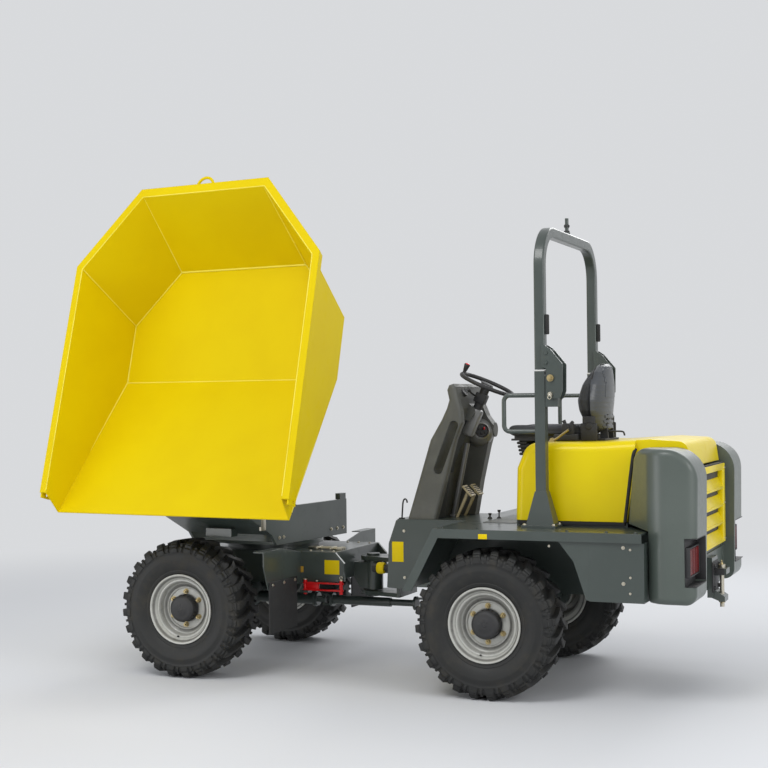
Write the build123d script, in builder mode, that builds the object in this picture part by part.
"""Articulated site dumper with a swivelling, tipping skip and a fold-down roll bar.

All lengths are millimetres.  Each assembly is drawn on a frame of its own: x forward,
y to the machine's left, z up.  The machine's frame starts on the ground under the rear
axle, and the part's origin is on the ground in the middle of what the machine covers.
"""
import math
import os

from build123d import *

os.makedirs("parts", exist_ok=True)

# Running gear
WHEELBASE = 1965
TRACK = 1430
TYRE_RADIUS = 422.5
TYRE_WIDTH = 290
RIM_RADIUS = 214
RIM_BARREL = 198
RIM_WIDTH = 250
RIM_THICKNESS = 9
DISC_OFFSET = 40
HUB_RADIUS = 78
HUB_REACH = 118
STUD_CIRCLE = 102
DISC_SPREAD = 60
SPINDLE_RADIUS = 30
SPINDLE_REACH = 45
AXLE_TUBE = 55
AXLE_FLANGE = 105
DIFFERENTIAL = 118
FIT = 0.3
RUNNING = 5
PIN_FIT = 0.1

# Places along the machine, from the rear axle
ARTICULATION_X = 1030
SLEW_X = 1750
ROPS_X = -275
ROPS_HALF = 590
REAR_END = -1187
HITCH_END = -1215

# Ranges of movement, in degrees
ARTICULATION_RANGE = 33

# Pose of the skip
HEADING = 85
TIP_ANGLE = 75.5
TIP_AXIS_REACH = 850
TIP_AXIS_HEIGHT = 1250

# Skip, from its lip and down from its rim
SKIP_LIP = 300
SKIP_RIM = 370
SKIP_DEPTH = 545
SKIP_SHEET = 6
SKIP_HALF_RIM = 852
SKIP_HALF_FLOOR = 794
SKIP_CHAMFER = 0.865
RIM_BAR = 45
LIP_DROP = 128
EYE_RING = 58
EYE_BAR = 9
MOUTH = 100

# Where the part's own origin lies in the machine's frame
ORIGIN_X = 769
ORIGIN_Y = 236


def rotated(angle):
    """Unit vector in the ground plane, turned by angle from forward to the left."""
    return Vector(math.cos(math.radians(angle)), math.sin(math.radians(angle)), 0)


# Frames of the machine, the swivelling console and the tipped skip
MACHINE = Plane(origin=(-ORIGIN_X, -ORIGIN_Y, 0), x_dir=(1, 0, 0), z_dir=(0, 0, 1))
CONSOLE = Plane(origin=(SLEW_X - ORIGIN_X, -ORIGIN_Y, 0), x_dir=rotated(HEADING), z_dir=(0, 0, 1))
UP = Vector(0, 0, 1)
TIP_COS = math.cos(math.radians(TIP_ANGLE))
TIP_SIN = math.sin(math.radians(TIP_ANGLE))
SKIP = Plane(
    origin=CONSOLE.from_local_coords(Vector(TIP_AXIS_REACH, 0, TIP_AXIS_HEIGHT)),
    x_dir=rotated(HEADING) * TIP_COS - UP * TIP_SIN,
    z_dir=rotated(HEADING) * TIP_SIN + UP * TIP_COS,
)


def point(frame, x, y, z):
    """A point given in a frame, in the part's own coordinates."""
    return frame.from_local_coords(Vector(x, y, z))


def level(frame, z=0):
    """Plane across a frame at height z: sketch x forward, y left."""
    return Plane(origin=point(frame, 0, 0, z), x_dir=frame.x_dir, z_dir=frame.z_dir)


def side(frame, y=0):
    """Upright plane along a frame: sketch x forward, y up, and it extrudes to the right."""
    return Plane(origin=point(frame, 0, y, 0), x_dir=frame.x_dir, z_dir=-frame.y_dir)


def cross(frame, x=0):
    """Upright plane across a frame: sketch x left, y up, and it extrudes forward."""
    return Plane(origin=point(frame, x, 0, 0), x_dir=frame.y_dir, z_dir=frame.x_dir)


def outline(points):
    """A closed outline of straight runs, as a face of the sketch."""
    Polygon(*points, align=None)


def side_plate(frame, points, low, high):
    """A plate with the side outline given, from y = low to y = high."""
    with BuildSketch(side(frame, high)) as section:
        outline(points)
    extrude(section.sketch, amount=high - low)


def block(frame, x, y, z):
    """A square block over the ranges x, y and z."""
    with BuildSketch(level(frame, z[0])) as section:
        with Locations(((x[0] + x[1]) / 2, (y[0] + y[1]) / 2)):
            Rectangle(x[1] - x[0], y[1] - y[0])
    extrude(section.sketch, amount=z[1] - z[0])


def rod_y(frame, x, z, radius, low, high, mode=Mode.ADD):
    """A round bar across a frame, from y = low to y = high."""
    with BuildSketch(side(frame, high)) as section:
        with Locations((x, z)):
            Circle(radius)
    extrude(section.sketch, amount=high - low, mode=mode)


def rod_z(frame, x, y, radius, low, high, mode=Mode.ADD):
    """An upright round bar, from z = low to z = high."""
    with BuildSketch(level(frame, low)) as section:
        with Locations((x, y)):
            Circle(radius)
    extrude(section.sketch, amount=high - low, mode=mode)


def rod_x(frame, y, z, radius, low, high, mode=Mode.ADD):
    """A round bar along a frame, from x = low to x = high."""
    with BuildSketch(cross(frame, low)) as section:
        with Locations((y, z)):
            Circle(radius)
    extrude(section.sketch, amount=high - low, mode=mode)


def finish(piece, label):
    """Names a finished piece and writes its file."""
    piece.part.label = label
    export_step(piece.part, f"parts/{label}.step")


# %% Wheels
WHEELS = (  # name, distance ahead of the rear axle, side
    ("front_left", WHEELBASE, 1),
    ("front_right", WHEELBASE, -1),
    ("rear_left", 0, 1),
    ("rear_right", 0, -1),
)
LUGS = 24
LUG_DEPTH = 30
LUG_GAP = 72
LUG_SWEEP = -96
SHOULDER = 128
BEAD_FACE = 118
BEAD_SEAT = 109
SIDEWALL_RADIUS = 310
TYRE_RINGS = (  # distance out from the middle of the tyre, radius
    (-BEAD_FACE, RIM_RADIUS + 16),
    (-TYRE_WIDTH / 2, SIDEWALL_RADIUS),
    (-SHOULDER, TYRE_RADIUS),
    (SHOULDER, TYRE_RADIUS),
    (TYRE_WIDTH / 2, SIDEWALL_RADIUS),
    (BEAD_FACE, RIM_RADIUS + 16),
)


def tyre_ring(out):
    """Plane across the tyre's axle, out from its middle."""
    return Plane(origin=(0, out, 0), x_dir=(1, 0, 0), z_dir=(0, 1, 0))


# A groove between two lugs, cut across one half of the tread and open at the shoulder
with BuildPart() as groove:
    with BuildSketch(Plane.XY.offset(TYRE_RADIUS - LUG_DEPTH)):
        outline([(0, 0), (LUG_GAP, 0), (LUG_GAP + LUG_SWEEP, TYRE_WIDTH), (LUG_SWEEP, TYRE_WIDTH)])
    extrude(amount=LUG_DEPTH * 2)

with BuildPart() as tyre_form:
    for out, radius in TYRE_RINGS:
        with BuildSketch(tyre_ring(out)):
            RegularPolygon(radius, LUGS)
    loft(ruled=True)
    pitch = 360 / LUGS
    other_side = mirror(groove.part, about=Plane.XZ, mode=Mode.PRIVATE)
    grooves = [groove.part.rotate(Axis.Y, pitch * i) for i in range(LUGS)]
    grooves += [other_side.rotate(Axis.Y, pitch * (i + 0.5)) for i in range(LUGS)]
    add(grooves, mode=Mode.SUBTRACT)
    for hand in (-1, 1):
        with BuildSketch(Plane(origin=(0, hand * BEAD_SEAT, 0), x_dir=(1, 0, 0), z_dir=(0, hand, 0))):
            RegularPolygon(RIM_RADIUS + FIT, LUGS, major_radius=False)
        extrude(amount=TYRE_WIDTH / 2 - BEAD_SEAT + 1, mode=Mode.SUBTRACT)
    with BuildSketch(tyre_ring(-BEAD_SEAT - 1)):
        RegularPolygon(RIM_BARREL + FIT, LUGS, major_radius=False)
    extrude(amount=2 * BEAD_SEAT + 2, mode=Mode.SUBTRACT)


for name, wheel_x, hand in WHEELS:
    centre = point(MACHINE, wheel_x, hand * TRACK / 2, TYRE_RADIUS)
    section_plane = Plane(origin=centre, x_dir=(0, 0, 1), z_dir=(-hand, 0, 0))
    spin_axis = Axis(centre, (0, hand, 0))

    with BuildPart() as tyre:
        add(tyre_form.part.moved(Location(centre)))
    finish(tyre, f"tyre_{name}")

    with BuildPart() as wheel:
        with BuildSketch(section_plane):
            outline(
                [
                    (RIM_RADIUS, RIM_WIDTH / 2 - 6),
                    (RIM_RADIUS, RIM_WIDTH / 2 + 2),
                    (RIM_RADIUS - 8, RIM_WIDTH / 2 + 2),
                    (RIM_BARREL - RIM_THICKNESS, RIM_WIDTH / 2 - 20),
                    (RIM_BARREL - 30, DISC_OFFSET + 30),
                    (RIM_BARREL - 62, DISC_OFFSET + 8),
                    (HUB_RADIUS, DISC_OFFSET + 8),
                    (HUB_RADIUS, HUB_REACH - 12),
                    (HUB_RADIUS - 16, HUB_REACH),
                    (0, HUB_REACH),
                    (0, -DISC_SPREAD),
                    (AXLE_FLANGE, -DISC_SPREAD),
                    (AXLE_FLANGE, DISC_OFFSET - 4),
                    (RIM_BARREL - 62, DISC_OFFSET - 4),
                    (RIM_BARREL - 30 - RIM_THICKNESS, -RIM_WIDTH / 2 + 30),
                    (RIM_RADIUS - 8, -RIM_WIDTH / 2 - 2),
                    (RIM_RADIUS, -RIM_WIDTH / 2 - 2),
                    (RIM_RADIUS, -RIM_WIDTH / 2 + 6),
                    (RIM_BARREL, -RIM_WIDTH / 2 + 14),
                    (RIM_BARREL, RIM_WIDTH / 2 - 14),
                ]
            )
        revolve(axis=spin_axis)
        hub_face = Plane(origin=centre, x_dir=(0, 0, 1), z_dir=(0, hand, 0))
        with BuildSketch(hub_face.offset(DISC_OFFSET + 8)):
            with PolarLocations(STUD_CIRCLE, 6):
                RegularPolygon(12, 6)
        extrude(amount=16)
        with BuildSketch(hub_face.offset(-DISC_SPREAD)):
            Circle(SPINDLE_RADIUS + PIN_FIT)
        extrude(amount=SPINDLE_REACH + RUNNING, mode=Mode.SUBTRACT)
    finish(wheel, f"wheel_{name}")


# %% Axles
AXLE_END = TRACK / 2 - DISC_SPREAD - RUNNING
PROP_ARM = 345
PROP_Z = 402
FRONT_JOINT_X = ARTICULATION_X + PROP_ARM
REAR_JOINT_X = ARTICULATION_X - PROP_ARM
SADDLE_HALF = 250
FRAME_BOTTOM = 545
YOKE_BACK = 62


def axle(x, nose_end):
    """Axle beam with its differential, its hub flanges and the nose that meets the shaft."""
    rod_y(MACHINE, x, TYRE_RADIUS, AXLE_TUBE, -AXLE_END, AXLE_END)
    for hand in (-1, 1):
        ends = sorted((hand * AXLE_END, hand * (AXLE_END - 70)))
        rod_y(MACHINE, x, TYRE_RADIUS, AXLE_FLANGE - 10, *ends)
        spindle = sorted((hand * AXLE_END, hand * (AXLE_END + RUNNING + SPINDLE_REACH)))
        rod_y(MACHINE, x, TYRE_RADIUS, SPINDLE_RADIUS, *spindle)
        pad = sorted((hand * (SADDLE_HALF - 50), hand * (SADDLE_HALF + 50)))
        block(MACHINE, (x - 70, x + 70), pad, (TYRE_RADIUS, FRAME_BOTTOM))
    with Locations(point(MACHINE, x, 0, TYRE_RADIUS)):
        Sphere(DIFFERENTIAL)
    rod_x(MACHINE, 0, PROP_Z, 36, *sorted((x, nose_end)))
    flange = (nose_end, nose_end + math.copysign(14, x - nose_end))
    rod_x(MACHINE, 0, PROP_Z, 50, *sorted(flange))


def fork(x, outwards, turned):
    """Fork of a universal joint: two ears either side of the joint at x."""
    base = sorted((x + outwards * YOKE_BACK, x + outwards * (YOKE_BACK - 16)))
    rod_x(MACHINE, 0, PROP_Z, 44, *base)
    ear_x = sorted((x - outwards * 14, x + outwards * YOKE_BACK))
    for hand in (-1, 1):
        near, far = sorted((hand * 26, hand * 38))
        if turned:
            block(MACHINE, ear_x, (-14, 14), (PROP_Z + near, PROP_Z + far))
        else:
            block(MACHINE, ear_x, (near, far), (PROP_Z - 14, PROP_Z + 14))


with BuildPart() as front_axle:
    axle(WHEELBASE, FRONT_JOINT_X + YOKE_BACK)
    fork(FRONT_JOINT_X, 1, False)
finish(front_axle, "front_axle")

with BuildPart() as rear_axle:
    axle(0, REAR_JOINT_X - YOKE_BACK)
    fork(REAR_JOINT_X, -1, False)
finish(rear_axle, "rear_axle")


# %% Drive shaft, in two halves that slide in each other
SLEEVE_RADIUS = 29
SPLINE_RADIUS = 21
CROSS_HALF = 25.2
SLEEVE_END = ARTICULATION_X - 120

with BuildPart() as propshaft_front:
    fork(FRONT_JOINT_X, -1, True)
    rod_x(MACHINE, 0, PROP_Z, SLEEVE_RADIUS, SLEEVE_END, FRONT_JOINT_X - YOKE_BACK)
    rod_x(MACHINE, 0, PROP_Z, SPLINE_RADIUS + PIN_FIT, SLEEVE_END, FRONT_JOINT_X - YOKE_BACK - 40,
          mode=Mode.SUBTRACT)
    rod_z(MACHINE, FRONT_JOINT_X, 0, 9, PROP_Z - 26, PROP_Z + 26)
    rod_y(MACHINE, FRONT_JOINT_X, PROP_Z, 6, -CROSS_HALF, CROSS_HALF)
finish(propshaft_front, "propshaft_front")

with BuildPart() as propshaft_rear:
    fork(REAR_JOINT_X, 1, True)
    rod_x(MACHINE, 0, PROP_Z, SPLINE_RADIUS, REAR_JOINT_X + YOKE_BACK, ARTICULATION_X + 130)
    rod_z(MACHINE, REAR_JOINT_X, 0, 9, PROP_Z - 26, PROP_Z + 26)
    rod_y(MACHINE, REAR_JOINT_X, PROP_Z, 6, -CROSS_HALF, CROSS_HALF)
finish(propshaft_rear, "propshaft_rear")


# %% Front frame
FRAME_HALF = 350
FRAME_PLATE = 20
FRAME_TOP = 746
FRAME_REAR = 1080
FRAME_FRONT = 2290
HOUSING_RADIUS = 62
HOUSING_LOW = 485
HOUSING_HIGH = 668
PIN_RADIUS = 28
LOCK_PIN = 11
LOCK_ARM = 16
LOCK_PIVOT = (1338, FRAME_HALF + LOCK_ARM + RUNNING)
LOCK_FRONT_EYE = 1092
STEER_OUT = FRAME_HALF - 90
STEER_EYE = (370, -STEER_OUT)
STEER_Z = 590

with BuildPart() as front_frame:
    frame_side = [
        (FRAME_REAR, 566),
        (FRAME_REAR, 680),
        (1140, FRAME_TOP),
        (2220, FRAME_TOP),
        (FRAME_FRONT, 670),
        (FRAME_FRONT, 580),
        (2250, FRAME_BOTTOM),
        (1400, FRAME_BOTTOM),
    ]
    side_plate(MACHINE, frame_side, FRAME_HALF - FRAME_PLATE, FRAME_HALF)
    side_plate(MACHINE, frame_side, -FRAME_HALF, FRAME_PLATE - FRAME_HALF)
    inner = (FRAME_PLATE - FRAME_HALF, FRAME_HALF - FRAME_PLATE)
    block(MACHINE, (1140, 2220), inner, (FRAME_TOP - FRAME_PLATE, FRAME_TOP))
    block(MACHINE, (1400, 2250), inner, (FRAME_BOTTOM, FRAME_BOTTOM + 15))
    block(MACHINE, (FRAME_FRONT - 15, FRAME_FRONT), inner, (585, 665))
    block(MACHINE, (1140, 1160), inner, (650, FRAME_TOP - FRAME_PLATE))
    block(MACHINE, (1140, 1160), (-100, FRAME_HALF - FRAME_PLATE), (566, 650))
    side_plate(
        MACHINE,
        [
            (1140, 566),
            (1140, HOUSING_HIGH - 10),
            (ARTICULATION_X, HOUSING_HIGH - 10),
            (ARTICULATION_X, HOUSING_LOW + 10),
            (1100, HOUSING_LOW + 10),
        ],
        -60,
        60,
    )
    rod_z(MACHINE, ARTICULATION_X, 0, HOUSING_RADIUS, HOUSING_LOW, HOUSING_HIGH)
    rod_z(MACHINE, ARTICULATION_X, 0, PIN_RADIUS + PIN_FIT, HOUSING_LOW, HOUSING_HIGH,
          mode=Mode.SUBTRACT)
    # Lugs for the steering cylinder's rod and for the articulation lock
    for low, high in ((STEER_Z + 22, STEER_Z + 34), (STEER_Z - 34, STEER_Z - 22)):
        block(MACHINE, (1350, 1450), (inner[0], 45 - STEER_OUT), (low, high))
    lock_lug = (LOCK_PIVOT[0] - 28, LOCK_PIVOT[0] + 27)
    block(MACHINE, lock_lug, (inner[1], LOCK_PIVOT[1] + LOCK_ARM + 5), (494, 508))
    block(MACHINE, lock_lug, (inner[1], FRAME_HALF), (494, FRAME_BOTTOM + 20))
    rod_z(MACHINE, *LOCK_PIVOT, LOCK_PIN + PIN_FIT, 494, 508, mode=Mode.SUBTRACT)
finish(front_frame, "front_frame")

CONSOLE_FLOOR = 795
with BuildPart() as slew_ring:
    rod_z(CONSOLE, 0, 0, 300, FRAME_TOP, 770)
    rod_z(CONSOLE, 0, 0, 330, 770, CONSOLE_FLOOR - FIT)
finish(slew_ring, "slew_ring")

MUD_GAP = 162.5
MUD_X = WHEELBASE - TYRE_RADIUS - MUD_GAP
MUD_PLATE = 6
MUD_OUT = 850
MUD_TOP = 790
FLAP_OUT = 790
with BuildPart() as mudguards:
    with BuildSketch(cross(MACHINE, MUD_X)):
        outline([
            (FRAME_HALF, 556),
            (FRAME_HALF, 745),
            (MUD_OUT - 250, MUD_TOP),
            (MUD_OUT, MUD_TOP),
            (MUD_OUT, MUD_TOP - 90),
            (FLAP_OUT, 556),
        ])
    extrude(amount=MUD_PLATE)
    block(MACHINE, (MUD_X, MUD_X + 70), (MUD_OUT - 250, MUD_OUT), (MUD_TOP - MUD_PLATE, MUD_TOP))
    mirror(about=side(MACHINE))
finish(mudguards, "mudguards")

with BuildPart() as mud_flaps:
    block(MACHINE, (MUD_X - 8.3, MUD_X - FIT), (FRAME_HALF + 70, FLAP_OUT), (290, 600))
    mirror(about=side(MACHINE))
finish(mud_flaps, "mud_flaps")

with BuildPart() as lock_bar:
    for low, high in ((509, 517), (552, 560)):
        arm = (LOCK_PIVOT[1] - LOCK_ARM, LOCK_PIVOT[1] + LOCK_ARM)
        block(MACHINE, (LOCK_FRONT_EYE, LOCK_PIVOT[0]), arm, (low, high))
        for eye in (LOCK_FRONT_EYE, LOCK_PIVOT[0]):
            rod_z(MACHINE, eye, LOCK_PIVOT[1], LOCK_ARM, low, high)
    rod_z(MACHINE, LOCK_FRONT_EYE, LOCK_PIVOT[1], LOCK_PIN, 490, 575)
    rod_z(MACHINE, *LOCK_PIVOT, LOCK_PIN, 484, 575)
finish(lock_bar, "lock_bar")


# %% Rear frame
STEER_FOOT = (-310, -175)
STEER_FOOT_PIN = 14
ENGINE_FOOT = 640
REAR_HALF = 285
REAR_PLATE = 16
DECK_TOP = 960
DECK_PLATE = 8
DECK_HALF = 860
DECK_SKIRT = 52
HOOD_FRONT = -78
HOOD_FOOT = 990
HOOD_HALF = ROPS_HALF - 90
HOOD_REAR_HALF = 462
HOOD_WALL = 12
HOOD_HINGE = (-1070, 1330)
HOOD_PIN = 8
HOOD_EAVE = 1305
HOOD_SEAT = 1440
HOOD_TAIL = -1095
HOOD_KNEE = -790
WEIGHT_FRONT = -915
PANEL_OUT = DECK_HALF - 18
PANEL_FOOT = 585
GUARD_WIDTH = 142

with BuildPart() as rear_frame:
    chassis = [
        (818, 535),
        (804, 809),
        (753, DECK_TOP - DECK_PLATE),
        (-900, DECK_TOP - DECK_PLATE),
        (-900, 600),
        (-780, FRAME_BOTTOM),
        (660, FRAME_BOTTOM),
        (690, 528),
    ]
    side_plate(MACHINE, chassis, REAR_HALF - REAR_PLATE, REAR_HALF)
    side_plate(MACHINE, chassis, -REAR_HALF, REAR_PLATE - REAR_HALF)
    tower = (REAR_PLATE - REAR_HALF, REAR_HALF - REAR_PLATE)
    front = [(802, 535), (818, 535), (811, 645), (795, 645)]
    side_plate(MACHINE, front, -100, REAR_HALF - REAR_PLATE)
    side_plate(MACHINE, [(795, 645), (811, 645), (804, 809), (788, 809)], *tower)
    side_plate(MACHINE, [(788, 809), (804, 809), (753, 952), (737, 952)], *tower)
    block(MACHINE, (150, 166), tower, (FRAME_BOTTOM, DECK_TOP - DECK_PLATE))
    block(MACHINE, (-900, -884), tower, (600, DECK_TOP - DECK_PLATE))
    for x in (-700, -320):
        block(MACHINE, (x - 20, x + 20), tower, (600, ENGINE_FOOT - FIT))
    # Fork of the articulation
    for low, high in ((HOUSING_HIGH + RUNNING, HOUSING_HIGH + 31), (HOUSING_LOW - 31, HOUSING_LOW - RUNNING)):
        with BuildSketch(level(MACHINE, low)):
            outline([(790, -150), (790, 150), (ARTICULATION_X, 80), (ARTICULATION_X, -80)])
            with Locations((ARTICULATION_X, 0)):
                Circle(80)
                Circle(PIN_RADIUS + PIN_FIT, mode=Mode.SUBTRACT)
        extrude(amount=high - low)
    block(MACHINE, (790, 810), (-150, 150), (HOUSING_LOW - 31, 545))
    for low, high in ((STEER_Z + 38, STEER_Z + 50), (STEER_Z - 50, STEER_Z - 38)):
        block(MACHINE, (655, 752), (-222, -128), (low, high))
    rod_z(MACHINE, ARTICULATION_X + STEER_FOOT[0], STEER_FOOT[1], STEER_FOOT_PIN, STEER_Z - 50, STEER_Z + 50)
    block(MACHINE, (635, 655), tower, (FRAME_BOTTOM, 700))
finish(rear_frame, "rear_frame")

with BuildPart() as articulation_pin:
    rod_z(MACHINE, ARTICULATION_X, 0, PIN_RADIUS, HOUSING_LOW - 45, HOUSING_HIGH + 45)
    rod_z(MACHINE, ARTICULATION_X, 0, 42, HOUSING_HIGH + 31, HOUSING_HIGH + 45)
    rod_z(MACHINE, ARTICULATION_X, 0, 42, HOUSING_LOW - 45, HOUSING_LOW - 31)
finish(articulation_pin, "articulation_pin")

with BuildPart() as deck:
    with BuildSketch(side(MACHINE, DECK_HALF)):
        outline(
            [
                (485, 600),
                (294, DECK_TOP),
                (-900, DECK_TOP),
                (-900, DECK_TOP - DECK_PLATE),
                (289, DECK_TOP - DECK_PLATE),
                (477, 600),
            ]
        )
    extrude(amount=DECK_HALF - REAR_HALF)
    with BuildSketch(side(MACHINE, DECK_HALF)):
        outline(
            [
                (485, 600),
                (294, DECK_TOP),
                (-900, DECK_TOP),
                (-900, DECK_TOP - DECK_SKIRT),
                (264, DECK_TOP - DECK_SKIRT),
                (427, 600),
            ]
        )
    extrude(amount=8)
    mirror(about=side(MACHINE))
    block(MACHINE, (-60, 745), (-REAR_HALF, REAR_HALF), (DECK_TOP - DECK_PLATE, DECK_TOP))
    plinth = (DECK_TOP, HOOD_FOOT - RUNNING)
    block(MACHINE, (HOOD_FRONT - 22, HOOD_FRONT - 10), (-480, 480), plinth)
    for low, high in ((470, 482), (-482, -470)):
        block(MACHINE, (-740, HOOD_FRONT - 10), (low, high), plinth)
finish(deck, "deck")

with BuildPart() as side_panels:
    panel_top = DECK_TOP - DECK_SKIRT - FIT
    under_deck = DECK_TOP - DECK_PLATE - FIT
    panel_rear = WEIGHT_FRONT + RUNNING
    panel = [(-607, PANEL_FOOT), (-607, panel_top), (panel_rear, panel_top), (panel_rear, PANEL_FOOT)]
    side_plate(MACHINE, panel, PANEL_OUT - 8, PANEL_OUT)
    # Rear edge folded in towards the counterweight
    block(MACHINE, (panel_rear, panel_rear + 8), (PANEL_OUT - 130, PANEL_OUT), (PANEL_FOOT, panel_top))
    guard = [(-400, under_deck), (-606.7, under_deck), (-606.7, 590), (-590, 590), (-520, 800)]
    side_plate(MACHINE, guard, PANEL_OUT - GUARD_WIDTH, PANEL_OUT)
    mirror(about=side(MACHINE))
finish(side_panels, "side_panels")

with BuildPart() as engine:
    block(MACHINE, (-800, -220), (-235, 235), (ENGINE_FOOT, 1250))
finish(engine, "engine")


# %% Counterweight, rear grille and lamps
WEIGHT_HALF = DECK_HALF - 60
WEIGHT_INNER = 475
WEIGHT_ROUND = 38

WEIGHT_FOOT = 575
WEIGHT_TOP = 1413
WEIGHT_KNEE = HOOD_KNEE + 38
RECESS_X = -1118
RECESS_Z = (675, 935)
RECESS_ROUND = 28
WEIGHT_SIDE = (  # x, z, corner radius
    (WEIGHT_FRONT, WEIGHT_FOOT, 0),
    (WEIGHT_FRONT, 966, 0),
    (WEIGHT_KNEE, 985, 0),
    (WEIGHT_KNEE - 58, WEIGHT_TOP, 90),
    (REAR_END, WEIGHT_TOP, 170),
    (REAR_END + 12, WEIGHT_FOOT, 60),
)
WEIGHT_PLAN = (  # x, y, corner radius
    (WEIGHT_KNEE + 7, WEIGHT_INNER, 0),
    (WEIGHT_KNEE + 7, HOOD_HALF + 5, 0),
    (-945, WEIGHT_HALF, 150),
    (REAR_END, WEIGHT_HALF, 70),
    (REAR_END, WEIGHT_INNER, 0),
)


def rounded_face(plane, corners):
    """A closed outline on a plane, with its corners rounded by the table's radius."""
    with BuildSketch(plane, mode=Mode.PRIVATE) as face:
        outline([(x, y) for x, y, radius in corners])
        for x, y, radius in corners:
            if radius:
                fillet(face.vertices().sort_by_distance((x, y, 0))[0], radius)
    return face.sketch


with BuildPart() as weight_block:
    extrude(rounded_face(side(MACHINE, WEIGHT_HALF), WEIGHT_SIDE), amount=WEIGHT_HALF - WEIGHT_INNER)
    plan = rounded_face(level(MACHINE, WEIGHT_FOOT - 5), WEIGHT_PLAN)
    extrude(plan, amount=WEIGHT_TOP - WEIGHT_FOOT + 10, mode=Mode.INTERSECT)
    brow = [
        edge
        for edge in weight_block.edges()
        if edge.center().Z > 1180 and edge.center().Y + ORIGIN_Y > HOOD_HALF + 30
        and edge.bounding_box().size.Y + edge.bounding_box().size.X > 20
    ]
    fillet(brow, WEIGHT_ROUND)

with BuildPart() as counterweight:
    add(weight_block.part)
    with BuildSketch(cross(MACHINE, RECESS_X)) as recess:
        with Locations((WEIGHT_INNER + 30 + 200, (RECESS_Z[0] + RECESS_Z[1]) / 2)):
            RectangleRounded(400, RECESS_Z[1] - RECESS_Z[0], RECESS_ROUND)
    extrude(recess.sketch, amount=REAR_END - RECESS_X - 5, mode=Mode.SUBTRACT)
    mirror(about=side(MACHINE))
    block(MACHINE, (-1110, -900 - FIT), (-WEIGHT_INNER, WEIGHT_INNER), (WEIGHT_FOOT, 780))
    block(MACHINE, (-1100, -1080), (-WEIGHT_INNER, WEIGHT_INNER), (780, HOOD_EAVE - 20))
    for hand in (-1, 1):
        pin = sorted((hand * (HOOD_REAR_HALF - HOOD_WALL - 4), hand * (WEIGHT_INNER + 5)))
        rod_y(MACHINE, *HOOD_HINGE, HOOD_PIN, *pin)
finish(counterweight, "counterweight")

GRILLE_BACK = -1100 - FIT
GRILLE_FACE = GRILLE_BACK - 14
GRILLE_HALF = 420
GRILLE_LOW = 812
SCOOP_HALF = 335
SCOOP_REACH = 26
SCOOP_PITCH = 112
SCOOP_HEIGHT = 78

with BuildPart() as rear_grille:
    with BuildSketch(cross(MACHINE, GRILLE_FACE)) as panel:
        with Locations((0, (GRILLE_LOW + HOOD_EAVE - 15) / 2)):
            RectangleRounded(2 * GRILLE_HALF, HOOD_EAVE - 15 - GRILLE_LOW, 18)
    extrude(panel.sketch, amount=GRILLE_BACK - GRILLE_FACE)
    for row in range(4):
        scoop_top = HOOD_EAVE - 50 - row * SCOOP_PITCH
        scoop_foot = scoop_top - SCOOP_HEIGHT
        hood_of_scoop = [
            (GRILLE_FACE + 1, scoop_top),
            (GRILLE_FACE - SCOOP_REACH, scoop_foot + 24),
            (GRILLE_FACE - SCOOP_REACH, scoop_foot),
            (GRILLE_FACE + 1, scoop_foot),
        ]
        side_plate(MACHINE, hood_of_scoop, -SCOOP_HALF, SCOOP_HALF)
    for row in range(4):
        scoop_top = HOOD_EAVE - 50 - row * SCOOP_PITCH
        scoop_foot = scoop_top - SCOOP_HEIGHT
        throat = [
            (GRILLE_BACK + 1, scoop_top - 22),
            (GRILLE_FACE, scoop_top - 8),
            (GRILLE_FACE - SCOOP_REACH + 4, scoop_foot + 20),
            (GRILLE_FACE - SCOOP_REACH + 4, scoop_foot - 1),
            (GRILLE_FACE - 1, scoop_foot - 1),
            (GRILLE_BACK + 1, scoop_foot + 20),
        ]
        for low, high in ((4 - SCOOP_HALF, -4), (4, SCOOP_HALF - 4)):
            with BuildSketch(side(MACHINE, high)) as section:
                outline(throat)
            extrude(section.sketch, amount=high - low, mode=Mode.SUBTRACT)
finish(rear_grille, "rear_grille")

with BuildPart() as tail_lamps:
    block(MACHINE, (-1140, -1118.3), (520, 780), (730, 880))
    mirror(about=side(MACHINE))
finish(tail_lamps, "tail_lamps")

with BuildPart() as tow_hitch:
    block(MACHINE, (-1140, -1110.3), (-90, 90), (530, 760))
    side_plate(MACHINE, [(-1115, 696), (HITCH_END, 696), (HITCH_END, 664), (-1115, 650)], -60, 60)
    side_plate(MACHINE, [(-1115, 570), (-1115, 532), (-1180, 505), (-1205, 505), (-1205, 535), (-1150, 570)], -60, 60)
    rod_z(MACHINE, -1180, 0, 13, 480, 720, mode=Mode.SUBTRACT)
finish(tow_hitch, "tow_hitch")

with BuildPart() as tow_pin:
    rod_z(MACHINE, -1180, 0, 12.9, 470, 716)
    rod_z(MACHINE, -1180, 0, 20, 696 + FIT, 716)
finish(tow_pin, "tow_pin")


# %% Hood, hinged at its rear edge
HOOD_ROUND = 52
HOOD_SIDE = (  # x, z, corner radius
    (HOOD_FRONT, HOOD_FOOT, 0),
    (HOOD_FRONT - 10, 1290, 0),
    (HOOD_FRONT - 72, HOOD_SEAT - 4, 95),
    (-320, HOOD_SEAT, 0),
    (-560, HOOD_SEAT, 0),
    (-720, HOOD_SEAT + 10, 0),
    (-870, HOOD_SEAT + 18, 0),
    (HOOD_TAIL + 20, HOOD_SEAT + 6, 62),
    (HOOD_TAIL, HOOD_EAVE, 0),
)


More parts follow.
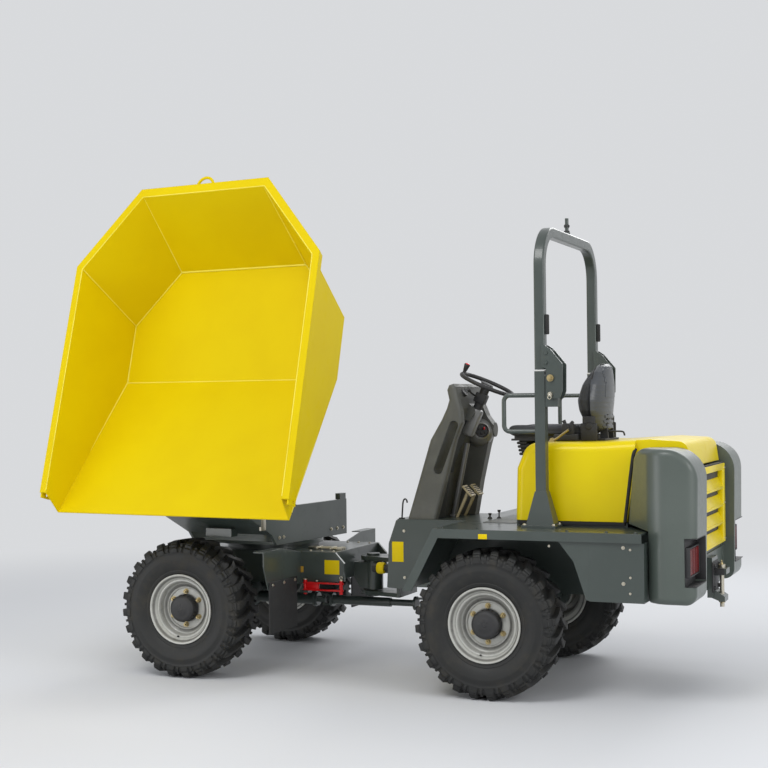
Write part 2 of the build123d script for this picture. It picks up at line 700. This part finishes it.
def hood_body(half, inset, low):
    """The hood's full-width form, moved in by inset, with its open foot lowered by low."""
    middle = (HOOD_FRONT + HOOD_TAIL) / 2
    points = []
    for x, z, radius in HOOD_SIDE:
        points.append((x - math.copysign(inset, x - middle), z - (inset if z > HOOD_EAVE else low)))
    knee = HOOD_KNEE - (60 if inset else 0)
    foot = HOOD_KNEE - 60 if inset else HOOD_KNEE + 50
    with BuildPart(mode=Mode.PRIVATE) as body:
        with BuildSketch(side(MACHINE, half)) as section:
            outline(points + [(knee, HOOD_EAVE - low), (foot, HOOD_FOOT - low)])
            for (x, z, radius), place in zip(HOOD_SIDE, points):
                if radius:
                    fillet(section.vertices().sort_by_distance((*place, 0))[0], radius - inset)
        extrude(section.sketch, amount=2 * half)
        long_edges = [
            edge
            for edge in body.edges()
            if abs(abs(edge.center().Y + ORIGIN_Y) - half) < 1
            and (edge.center().Z > 1320 or edge.center().X > HOOD_FRONT - ORIGIN_X - inset - 12)
            and edge.center().X > HOOD_TAIL - ORIGIN_X + 5
        ]
        fillet(long_edges, HOOD_ROUND - inset * 0.8)
    return body.part


def hood_form(inset, low):
    """The hood, narrower behind its knee so that it drops between the counterweights."""
    with BuildPart(mode=Mode.PRIVATE) as form:
        add(hood_body(HOOD_HALF - inset, inset, low))
        for hand in (-1, 1):
            sides = sorted((hand * (HOOD_REAR_HALF - inset), hand * (HOOD_HALF + 1)))
            with BuildSketch(side(MACHINE, sides[1])):
                knee = [(HOOD_KNEE + 50 + inset, 900), (HOOD_KNEE + inset, 1358), (HOOD_KNEE + inset, 1500)]
                outline(knee + [(-1200, 1500), (-1200, 900)])
            extrude(amount=sides[1] - sides[0], mode=Mode.SUBTRACT)
    return form.part


with BuildPart() as hood:
    add(hood_form(0, 0))
    add(hood_form(HOOD_WALL, 20), mode=Mode.SUBTRACT)
    rod_y(MACHINE, *HOOD_HINGE, HOOD_PIN + PIN_FIT, -HOOD_HALF, HOOD_HALF, mode=Mode.SUBTRACT)
finish(hood, "hood")


# %% Seat
SEAT_TOP = 1475
SEAT_HALF = 235
CUSHION_TOP = 1540
SHELL = 14
SEAT_SPLIT = -470
SEAT_RINGS = (  # z, middle x, half depth, half width up the seat back
    (SEAT_TOP + 25, -483, 40, 120),
    (1555, -459, 60, 180),
    (1620, -447, 76, SEAT_HALF - 18),
    (1680, -446, 84, SEAT_HALF - 10),
    (1773, -461, 69, 200),
    (1845, -482, 44, 140),
    (1896, -498, 24, 62),
)
RIB_LOW = 1512
RIB_PITCH = 24


def seat_form(inset):
    """The seat back's form, moved in by inset."""
    with BuildPart(mode=Mode.PRIVATE) as form:
        for z, x, depth, half in SEAT_RINGS:
            turns = [math.radians(30 * i) for i in range(12)]
            with BuildSketch(level(MACHINE, z)):
                outline([(x + (depth - inset) * math.cos(t), (half - inset) * math.sin(t)) for t in turns])
        loft(ruled=True)
    return form.part


with BuildPart() as seat_base:
    # Moulded shell behind the seat back, on two stays
    add(seat_form(0))
    split(bisect_by=cross(MACHINE, SEAT_SPLIT), keep=Keep.BOTTOM)
    add(seat_form(SHELL), mode=Mode.SUBTRACT)
    block(MACHINE, (-540, 40), (-170, 170), (HOOD_SEAT + FIT, HOOD_SEAT + 12))
    for low, high in ((-170, -130), (130, 170)):
        block(MACHINE, (-500, 20), (low, high), (HOOD_SEAT + 12, SEAT_TOP))
    block(MACHINE, (-460, -20), (-130, 130), (HOOD_SEAT + 12, SEAT_TOP))
    stay = [
        (-536, HOOD_SEAT + FIT),
        (-480, HOOD_SEAT + FIT),
        (-480, SEAT_TOP),
        (-508, SEAT_TOP + 20),
        (-508, SEAT_TOP + 95),
        (-526, SEAT_TOP + 95),
    ]
    for low, high in ((-80, -60), (60, 80)):
        side_plate(MACHINE, stay, low, high)
    for rib in range(4):
        low = RIB_LOW + rib * RIB_PITCH
        side_plate(MACHINE, [(-530, low), (-510, low), (-510, low + 12), (-532, low + 12)], -70, 70)
finish(seat_base, "seat_base")

with BuildPart() as seat_cushion:
    with BuildSketch(level(MACHINE, SEAT_TOP + FIT)):
        with Locations((-160, 0)):
            RectangleRounded(480, 2 * SEAT_HALF, 70)
    extrude(amount=CUSHION_TOP - SEAT_TOP - FIT)
    fillet(seat_cushion.faces().sort_by(Axis.Z)[-1].edges(), 24)
finish(seat_cushion, "seat_cushion")

with BuildPart() as seat_back:
    add(seat_form(0))
    split(bisect_by=cross(MACHINE, SEAT_SPLIT + FIT), keep=Keep.TOP)
    add(seat_form(SHELL + FIT))
finish(seat_back, "seat_back")


# %% Roll bar: posts on the deck and a hoop that folds back
TUBE = 60
ROPS_SPLIT = 1858
ROPS_TOP = 2690
ROPS_PIN = (-344, 1808)
ROPS_LOCK = (-343, 1716)
BOOT = (166, 110)
BOOT_TOP = 1165
HOOP_BEND = 210
LAMP_SOCKET = 100
POST_X = (ROPS_X - TUBE / 2, ROPS_X + TUBE / 2)
POST_Y = (ROPS_HALF - TUBE / 2, ROPS_HALF + TUBE / 2)

with BuildPart() as rops_posts:
    block(MACHINE, POST_X, POST_Y, (DECK_TOP + 14, ROPS_SPLIT - RUNNING))
    block(MACHINE, (-370, -170), (ROPS_HALF - 75, ROPS_HALF + 75), (DECK_TOP, DECK_TOP + 14))
    with BuildSketch(level(MACHINE, DECK_TOP + 14)) as boot_foot:
        with Locations((ROPS_X, ROPS_HALF)):
            Rectangle(*BOOT)
    with BuildSketch(level(MACHINE, BOOT_TOP)) as boot_top:
        with Locations((ROPS_X, ROPS_HALF)):
            Rectangle(TUBE + 8, TUBE + 8)
    loft([boot_foot.sketch, boot_top.sketch], ruled=True)
    side_plate(
        MACHINE,
        [(POST_X[0], 1645), (-378, 1645), (-385, 1800), (-365, 1838), (-330, 1838), (POST_X[0], 1820)],
        ROPS_HALF - 25,
        ROPS_HALF + 25,
    )
    rod_y(MACHINE, *ROPS_PIN, 12 + PIN_FIT, ROPS_HALF - 25, ROPS_HALF + 25, mode=Mode.SUBTRACT)
    mirror(about=side(MACHINE))
finish(rops_posts, "rops_posts")

with BuildPart() as rops_pins:
    rod_y(MACHINE, *ROPS_PIN, 12, ROPS_HALF - 48, ROPS_HALF + 48)
    rod_y(MACHINE, *ROPS_PIN, 20, ROPS_HALF + 46, ROPS_HALF + 56)
    mirror(about=side(MACHINE))
finish(rops_pins, "rops_pins")

with BuildPart() as rops_hoop:
    with BuildLine(cross(MACHINE, ROPS_X)):
        FilletPolyline(
            (ROPS_HALF, ROPS_SPLIT),
            (ROPS_HALF, ROPS_TOP - TUBE / 2),
            (-ROPS_HALF, ROPS_TOP - TUBE / 2),
            (-ROPS_HALF, ROPS_SPLIT),
            radius=HOOP_BEND,
        )
    with BuildSketch(level(MACHINE, ROPS_SPLIT)):
        with Locations((ROPS_X, ROPS_HALF)):
            RectangleRounded(TUBE, TUBE, 9)
    sweep()
    # Socket for a beacon
    rod_z(MACHINE, ROPS_X, 0, 20, ROPS_TOP - 4, ROPS_TOP + 14)
    rod_z(MACHINE, ROPS_X, 0, 11, ROPS_TOP, ROPS_TOP + LAMP_SOCKET)
    rod_z(MACHINE, ROPS_X, 0, 15, ROPS_TOP + 42, ROPS_TOP + 62)
    hinge_cheek = [
        (-290, 1872),
        (-290, 1995),
        (-308, 1997),
        (-342, 1974),
        (-414, 1887),
        (-412, 1734),
        (-397, 1694),
        (-335, 1690),
        (-318, 1715),
        (-318, 1862),
    ]
    for cheek_y in (ROPS_HALF + 36, ROPS_HALF - 44, -ROPS_HALF + 36, -ROPS_HALF - 44):
        with BuildSketch(side(MACHINE, cheek_y + 8)):
            outline(hinge_cheek)
            with Locations(ROPS_PIN):
                Circle(12 + PIN_FIT, mode=Mode.SUBTRACT)
        extrude(amount=8)
    for hand in (-1, 1):
        block(MACHINE, (-345, POST_X[0]), (hand * ROPS_HALF - 44, hand * ROPS_HALF + 44), (1875, 1970))
        block(MACHINE, (POST_X[0], -290), (hand * ROPS_HALF - 44, hand * ROPS_HALF + 44), (1875, 1970))
finish(rops_hoop, "rops_hoop")

with BuildPart() as grab_rails:
    with BuildLine(side(MACHINE, ROPS_HALF)):
        FilletPolyline((POST_X[1], 1712), (-52, 1712), (-52, 1505), (POST_X[1], 1505), radius=35)
    with BuildSketch(cross(MACHINE, POST_X[1])):
        with Locations((ROPS_HALF, 1712)):
            Circle(13)
    sweep()
    mirror(about=side(MACHINE))
finish(grab_rails, "grab_rails")


# %% Dash, steering and pedals
DASH_HALF = 255
WHEEL_CENTRE = (247, 1785)
COLUMN_TILT = 24
COLUMN_RADIUS = 28
STEERING_RADIUS = 183
STEERING_RIM = 13
COLUMN = Plane(
    origin=point(MACHINE, WHEEL_CENTRE[0], 0, WHEEL_CENTRE[1]),
    x_dir=(0, 1, 0),
    z_dir=(-math.sin(math.radians(COLUMN_TILT)), 0, math.cos(math.radians(COLUMN_TILT))),
)

DASH_FRONT = (  # x, z up the front of the dash and over its instrument hood
    (690, DECK_TOP),
    (612, 1206),
    (537, 1446),
    (463, 1569),
    (428, 1640),
    (412, 1690),
    (425, 1752),
    (412, 1782),
    (385, 1790),
    (366, 1772),
)
DASH_WING = 50
DASH_ROUND = 22
GRIP_SLOT = ((370, 1562), (495, 1238), 58, 24)  # top, foot, width, depth

with BuildPart() as dash:
    rear_left = [(352, 1700), (330, 1620), (325, 1550), (370, 1446), (435, 1202), (503, DECK_TOP)]
    rear_right = [(352, 1700), (306, 1590), (262, 1530), (300, 1400), (350, 1180), (390, DECK_TOP)]
    back_wall = [(352, 1700), (352, 1640), (400, 1540), (400, 1450), (470, 1300), (560, DECK_TOP)]
    side_plate(MACHINE, list(DASH_FRONT) + back_wall, -DASH_HALF, DASH_HALF)
    side_plate(MACHINE, list(DASH_FRONT) + rear_left, DASH_HALF - DASH_WING, DASH_HALF)
    side_plate(MACHINE, list(DASH_FRONT) + rear_right, -DASH_HALF, -DASH_HALF + 2 * DASH_WING)
    rims = [
        edge
        for edge in dash.edges()
        if abs(abs(edge.center().Y + ORIGIN_Y) - DASH_HALF) < 1 and edge.center().Z > DECK_TOP + 5
    ]
    fillet(rims, DASH_ROUND)
    # Ridge that holds the steering column
    ridge = [(470, 1300), (400, 1450), (352, 1560), (318, 1600), (322, 1640), (366, 1680), (430, 1500)]
    side_plate(MACHINE, ridge + [(560, 1100), (640, DECK_TOP), (520, DECK_TOP)], -48, 48)
    # Grip slots in both sides
    slot_top, slot_foot, slot_width, slot_depth = GRIP_SLOT
    for y, amount in ((DASH_HALF, slot_depth), (-DASH_HALF + slot_depth, slot_depth)):
        with BuildSketch(side(MACHINE, y)) as slot:
            middle = ((slot_top[0] + slot_foot[0]) / 2, (slot_top[1] + slot_foot[1]) / 2)
            run = (slot_foot[0] - slot_top[0], slot_foot[1] - slot_top[1])
            with Locations(middle):
                SlotOverall(math.hypot(*run), slot_width, math.degrees(math.atan2(run[1], run[0])))
        extrude(slot.sketch, amount=amount, mode=Mode.SUBTRACT)
    # Round ignition panel on the right wing, facing the driver
    rod_x(MACHINE, -DASH_HALF + DASH_WING, 1500, 46, 262, 330)
    with BuildSketch(level(COLUMN, -260)):
        Circle(COLUMN_RADIUS + FIT)
    extrude(amount=260, mode=Mode.SUBTRACT)
finish(dash, "dash")

with BuildPart() as steering_column:
    with BuildSketch(level(COLUMN, -240)):
        Circle(COLUMN_RADIUS)
    extrude(amount=190)
finish(steering_column, "steering_column")

with BuildPart() as steering_wheel:
    rim_middle = STEERING_RADIUS - STEERING_RIM
    with BuildSketch(level(COLUMN, -49)):
        Circle(COLUMN_RADIUS)
    extrude(amount=44)
    with BuildSketch(side(COLUMN)):
        with Locations((rim_middle, 0)):
            RegularPolygon(STEERING_RIM, 10)
    revolve(axis=Axis(COLUMN.origin, COLUMN.z_dir))
    for turn in (90, 210, 330):
        along = COLUMN.x_dir * math.cos(math.radians(turn)) + COLUMN.y_dir * math.sin(math.radians(turn))
        spoke = Plane(origin=COLUMN.origin, x_dir=along, z_dir=COLUMN.z_dir)
        block(spoke, (COLUMN_RADIUS - 6, rim_middle), (-14, 14), (-13, -6))
    with BuildSketch(level(COLUMN)):
        with Locations((0, -rim_middle)):
            Circle(11)
    extrude(amount=62)
finish(steering_wheel, "steering_wheel")

with BuildPart() as pedals:
    for y in (60, -90):
        side_plate(MACHINE, [(330, 1090), (322, 1098), (380, 1160), (388, 1152)], y - 40, y + 40)
        foot = DECK_TOP + FIT
        side_plate(MACHINE, [(352, 1112), (364, 1130), (440, foot), (425, foot)], y - 8, y + 8)
finish(pedals, "pedals")


# %% Swivelling console
CONSOLE_HALF = 315
CONSOLE_PLATE = 20
EYE_RADIUS = 68
TIP_PIN = 25
LUG_HALF = 288
LUG_PLATE = 24
PIVOT = (TIP_AXIS_REACH, TIP_AXIS_HEIGHT)
BARREL_PIN = (-50, 870)
EYE_HALF = 38

with BuildPart() as swivel_console:
    for low in (CONSOLE_HALF - CONSOLE_PLATE, -CONSOLE_HALF):
        with BuildSketch(side(CONSOLE, low + CONSOLE_PLATE)):
            with BuildLine():
                Polyline(
                    (PIVOT[0] - EYE_RADIUS, PIVOT[1]),
                    (600, 1190),
                    (400, 1105),
                    (213, 1030),
                    (-430, 1030),
                    (-430, CONSOLE_FLOOR),
                    (460, CONSOLE_FLOOR),
                    (520, 865),
                    (790, 995),
                    (900, 1062),
                    (PIVOT[0] + EYE_RADIUS, PIVOT[1]),
                )
                ThreePointArc(
                    (PIVOT[0] + EYE_RADIUS, PIVOT[1]),
                    (PIVOT[0], PIVOT[1] + EYE_RADIUS),
                    (PIVOT[0] - EYE_RADIUS, PIVOT[1]),
                )
            make_face()
        extrude(amount=CONSOLE_PLATE)
    inside = (CONSOLE_PLATE - CONSOLE_HALF, CONSOLE_HALF - CONSOLE_PLATE)
    block(CONSOLE, (-430, 460), inside, (CONSOLE_FLOOR, CONSOLE_FLOOR + 20))
    side_plate(CONSOLE, [(520, 865), (790, 995), (785, 1006), (515, 876)], *inside)
    block(CONSOLE, (570, 640), (-95, 95), (855, 905))
    for hand in (-1, 1):
        low, high = sorted((hand * 280, hand * CONSOLE_HALF))
        block(CONSOLE, (-420, -340), (low, high), (1030, 1070))
        low, high = sorted((hand * 254, hand * (CONSOLE_HALF + 12)))
        rod_y(CONSOLE, *PIVOT, TIP_PIN, low, high)
        low, high = sorted((hand * 48, hand * 66))
        with BuildSketch(side(CONSOLE, high)):
            pin_x, pin_z = BARREL_PIN
            outline([(pin_x - 75, 815), (pin_x + 75, 815), (pin_x + 35, pin_z + 30), (pin_x - 35, pin_z + 30)])
        extrude(amount=high - low)
    rod_y(CONSOLE, *BARREL_PIN, 20, -72, 72)
finish(swivel_console, "swivel_console")


# %% Tip cylinder, drawn along its own axis
ROD_EYE = (-275, -200)  # from the tip axis, with the skip down
rod_eye = Vector(
    PIVOT[0] + ROD_EYE[0] * TIP_COS + ROD_EYE[1] * TIP_SIN,
    PIVOT[1] - ROD_EYE[0] * TIP_SIN + ROD_EYE[1] * TIP_COS,
)
reach_x = rod_eye.X - BARREL_PIN[0]
reach_z = rod_eye.Y - BARREL_PIN[1]
CYLINDER_LENGTH = math.hypot(reach_x, reach_z)
cylinder_dir = (CONSOLE.x_dir * reach_x + UP * reach_z).normalized()
TIP_CYLINDER = Plane(
    origin=point(CONSOLE, BARREL_PIN[0], 0, BARREL_PIN[1]),
    x_dir=cylinder_dir,
    z_dir=cylinder_dir.cross(CONSOLE.y_dir),
)
BARREL_END = 570


def cylinder_barrel(frame, radius, bore, eye, eye_half, pin, end):
    """Barrel of a cylinder: its eye at the frame's origin and its gland at x = end."""
    rod_x(frame, 0, 0, radius, eye + 8, end)
    rod_x(frame, 0, 0, radius + 6, end - 40, end)
    rod_y(frame, 0, 0, eye, -eye_half, eye_half)
    block(frame, (0, eye + 20), (-eye_half, eye_half), (-eye * 0.7, eye * 0.7))
    rod_y(frame, 0, 0, pin + PIN_FIT, -eye_half, eye_half, mode=Mode.SUBTRACT)
    rod_x(frame, 0, 0, bore + PIN_FIT, eye + 60, end, mode=Mode.SUBTRACT)


def cylinder_rod(frame, radius, eye, eye_half, start, end):
    """Rod of a cylinder with a solid eye centred at x = end."""
    rod_x(frame, 0, 0, radius, start, end)
    rod_y(frame, end, 0, eye, -eye_half, eye_half)


with BuildPart() as tip_cylinder_barrel:
    cylinder_barrel(TIP_CYLINDER, 52, 28, 42, 40, 20, BARREL_END)
finish(tip_cylinder_barrel, "tip_cylinder_barrel")

with BuildPart() as tip_cylinder_rod:
    cylinder_rod(TIP_CYLINDER, 28, 40, EYE_HALF, 373, CYLINDER_LENGTH)
finish(tip_cylinder_rod, "tip_cylinder_rod")


# %% Steering cylinder
steer_reach = (STEER_EYE[0] - STEER_FOOT[0], STEER_EYE[1] - STEER_FOOT[1])
STEER_LENGTH = math.hypot(*steer_reach)
STEERING = Plane(
    origin=point(MACHINE, ARTICULATION_X + STEER_FOOT[0], STEER_FOOT[1], STEER_Z),
    x_dir=Vector(*steer_reach, 0),
    z_dir=Vector(-steer_reach[1], steer_reach[0], 0),
)
with BuildPart() as steer_cylinder_barrel:
    cylinder_barrel(STEERING, 32, 18, 30, 36, STEER_FOOT_PIN, 474)
finish(steer_cylinder_barrel, "steer_cylinder_barrel")

with BuildPart() as steer_cylinder_rod:
    cylinder_rod(STEERING, 18, 28, 17, 230, STEER_LENGTH)
finish(steer_cylinder_rod, "steer_cylinder_rod")


# %% Skip
FLOOR_FRONT = 937
FLOOR_SIDE_END = 1329
FLOOR_REAR = 1688
RIM_SIDE_END = 1544
RIM_REAR = 2004


def skip_plane(start, end, foot, inset):
    """Plane through three points given as distance from the lip, side and depth, moved in by inset."""
    a, b, c = (point(SKIP, SKIP_LIP - s, y, SKIP_RIM - h) for s, y, h in (start, end, foot))
    normal = (b - a).cross(c - a).normalized()
    if normal.dot(point(SKIP, SKIP_LIP - FLOOR_FRONT, 0, SKIP_RIM - SKIP_DEPTH / 2) - a) > 0:
        normal = -normal
    return Plane(origin=a - normal * inset, z_dir=normal)


def trough(inset, mouth=True):
    """The skip's trough as a solid, each wall and the floor moved in by inset."""
    block(SKIP, (-2000, 1000), (-1000, 1000), (SKIP_RIM - SKIP_DEPTH + inset, SKIP_RIM + max(inset, 0)))
    rim_half, floor_half = SKIP_HALF_RIM, SKIP_HALF_FLOOR
    rear_half = rim_half - SKIP_CHAMFER * (RIM_REAR - RIM_SIDE_END)
    planes = [
        ((0, -rim_half, LIP_DROP), (0, rim_half, LIP_DROP), (FLOOR_FRONT, floor_half, SKIP_DEPTH)),
        ((RIM_REAR, rear_half, 0), (RIM_REAR, -rear_half, 0), (FLOOR_REAR, 0, SKIP_DEPTH)),
    ]
    for hand in (-1, 1):
        corner = (RIM_SIDE_END, hand * rim_half, 0)
        planes.append(((0, hand * rim_half, 0), corner, (FLOOR_FRONT, hand * floor_half, SKIP_DEPTH)))
        planes.append((corner, (RIM_REAR, hand * rear_half, 0), (FLOOR_SIDE_END, hand * floor_half, SKIP_DEPTH)))
    for plane in planes:
        split(bisect_by=skip_plane(*plane, inset), keep=Keep.BOTTOM)
    if mouth:
        lip = ((0, -rim_half, LIP_DROP), (0, rim_half, LIP_DROP), (MOUTH, 0, 0))
        split(bisect_by=skip_plane(*lip, 0), keep=Keep.BOTTOM)


def slope_z(x):
    """Height of the front slope's underside over the tip axis, x ahead of that axis."""
    return SKIP_RIM - LIP_DROP - (SKIP_LIP - x) * (SKIP_DEPTH - LIP_DROP) / FLOOR_FRONT


with BuildPart() as skip_inside:
    trough(SKIP_SHEET, mouth=False)

with BuildPart() as skip_outside:
    trough(0)

with BuildPart() as skip_rim:
    trough(-RIM_BAR, mouth=False)
    block_start = level(SKIP, SKIP_RIM - RIM_BAR)
    split(bisect_by=block_start, keep=Keep.TOP)
    split(bisect_by=level(SKIP, SKIP_RIM), keep=Keep.BOTTOM)
    split(bisect_by=cross(SKIP, SKIP_LIP - MOUTH), keep=Keep.BOTTOM)
    add(skip_inside.part, mode=Mode.SUBTRACT)

with BuildPart() as skip:
    add(skip_outside.part)
    add(skip_rim.part)
    add(skip_inside.part, mode=Mode.SUBTRACT)
    for hand in (-1, 1):
        low, high = sorted((hand * (LUG_HALF - LUG_PLATE), hand * LUG_HALF))
        lug = [
            (110, slope_z(110) + 3),
            (62, -10),
            (32, -52),
            (-15, -60),
            (-60, -42),
            (-300, slope_z(-300) + 3),
        ]
        side_plate(SKIP, lug, low, high)
        rod_y(SKIP, 0, 0, TIP_PIN + PIN_FIT, low, high, mode=Mode.SUBTRACT)
        low, high = sorted((hand * (EYE_HALF + 3), hand * (EYE_HALF + 19)))
        eye_x, eye_z = ROD_EYE
        lug = [
            (eye_x + 120, slope_z(eye_x + 120) + 3),
            (eye_x + 40, eye_z - 18),
            (eye_x + 16, eye_z - 42),
            (eye_x - 16, eye_z - 42),
            (eye_x - 40, eye_z - 18),
            (eye_x - 130, slope_z(eye_x - 130) + 3),
        ]
        side_plate(SKIP, lug, low, high)
        low, high = sorted((hand * (EYE_HALF + 19), hand * (EYE_HALF + 31)))
        rod_y(SKIP, eye_x, eye_z, 30, low, high)
        # Ear with a hole at the front end of the rim bar
        low, high = sorted((hand * (SKIP_HALF_RIM + RIM_BAR - 14), hand * (SKIP_HALF_RIM + RIM_BAR - 4)))
        ear_x = SKIP_LIP - MOUTH
        ear = [
            (ear_x - 60, SKIP_RIM - RIM_BAR + 4),
            (ear_x - 10, SKIP_RIM - RIM_BAR - 40),
            (ear_x + 30, SKIP_RIM - RIM_BAR - 40),
            (ear_x + 30, SKIP_RIM - 10),
            (ear_x - 10, SKIP_RIM - 4),
            (ear_x - 60, SKIP_RIM - 4),
        ]
        side_plate(SKIP, ear, low, high)
        rod_y(SKIP, ear_x + 8, SKIP_RIM - RIM_BAR - 12, 11, low, high, mode=Mode.SUBTRACT)
    # Lifting eye on the rear edge of the rim
    eye_level = SKIP_RIM - RIM_BAR / 2
    eye_x = SKIP_LIP - RIM_REAR - RIM_BAR + 4
    with BuildLine(level(SKIP, eye_level)) as eye_line:
        CenterArc((eye_x, 0), EYE_RING, 90, 180)
    with BuildSketch(cross(SKIP, eye_x)) as eye_bar:
        with Locations((EYE_RING, eye_level)):
            Circle(EYE_BAR)
    sweep(eye_bar.sketch, path=eye_line.line)
finish(skip, "skip")
